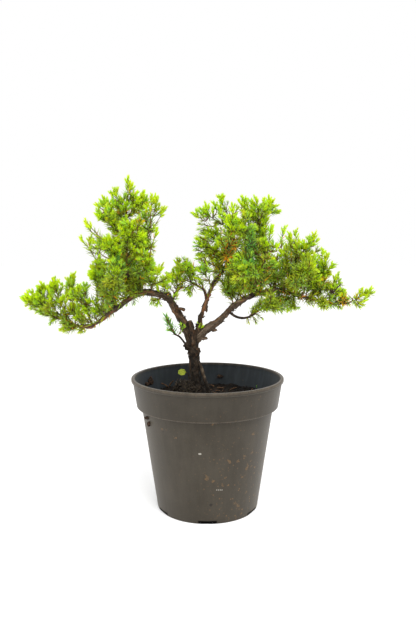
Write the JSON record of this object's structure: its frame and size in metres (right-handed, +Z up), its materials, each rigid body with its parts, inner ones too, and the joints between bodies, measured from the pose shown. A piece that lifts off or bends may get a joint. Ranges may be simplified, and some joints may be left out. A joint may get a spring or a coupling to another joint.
{
  "type": "juniper bonsai in a nursery pot",
  "caption": "Small juniper bonsai with a forked bare trunk, arching limbs and upright sprays of prickly needles, growing in soil in a plain round tapered nursery pot with a flared collar.",
  "frame": {"origin": "middle of the pot's flat foot, on the surface that the pot stands on", "axes": "+Z up along the pot's axis, +X to the viewer's right along the spread of the limbs, +Y away from the viewer"},
  "size_m": [0.2909, 0.1226, 0.2685],
  "materials": {
    "pot_plastic": "satin",
    "soil": "matte",
    "bark": "matte",
    "weed_green": "satin",
    "needles": "satin"
  },
  "bodies": {
    "root": {"pot": "pot_plastic", "soil": "soil", "wood": "bark", "weed": "weed_green", "spray_01": "needles", "spray_02": "needles", "spray_03": "needles", "spray_04": "needles", "spray_05": "needles", "spray_06": "needles", "spray_07": "needles", "spray_08": "needles", "spray_09": "needles", "spray_10": "needles", "spray_11": "needles", "spray_12": "needles", "spray_13": "needles", "spray_14": "needles", "spray_15": "needles", "spray_16": "needles", "spray_17": "needles", "spray_18": "needles", "spray_19": "needles", "spray_20": "needles", "spray_21": "needles", "spray_22": "needles", "spray_23": "needles", "spray_24": "needles", "spray_25": "needles", "spray_26": "needles", "spray_27": "needles", "spray_28": "needles", "spray_29": "needles", "spray_30": "needles", "spray_31": "needles", "spray_32": "needles", "spray_33": "needles", "spray_34": "needles", "spray_35": "needles", "spray_36": "needles", "spray_37": "needles", "spray_38": "needles", "spray_39": "needles", "spray_40": "needles", "spray_41": "needles", "spray_42": "needles", "spray_43": "needles", "spray_44": "needles", "spray_45": "needles", "spray_46": "needles", "spray_47": "needles", "spray_48": "needles", "spray_49": "needles", "spray_50": "needles", "spray_51": "needles", "spray_52": "needles", "spray_53": "needles", "spray_54": "needles", "spray_55": "needles", "spray_56": "needles"}
  },
  "joints": []
}
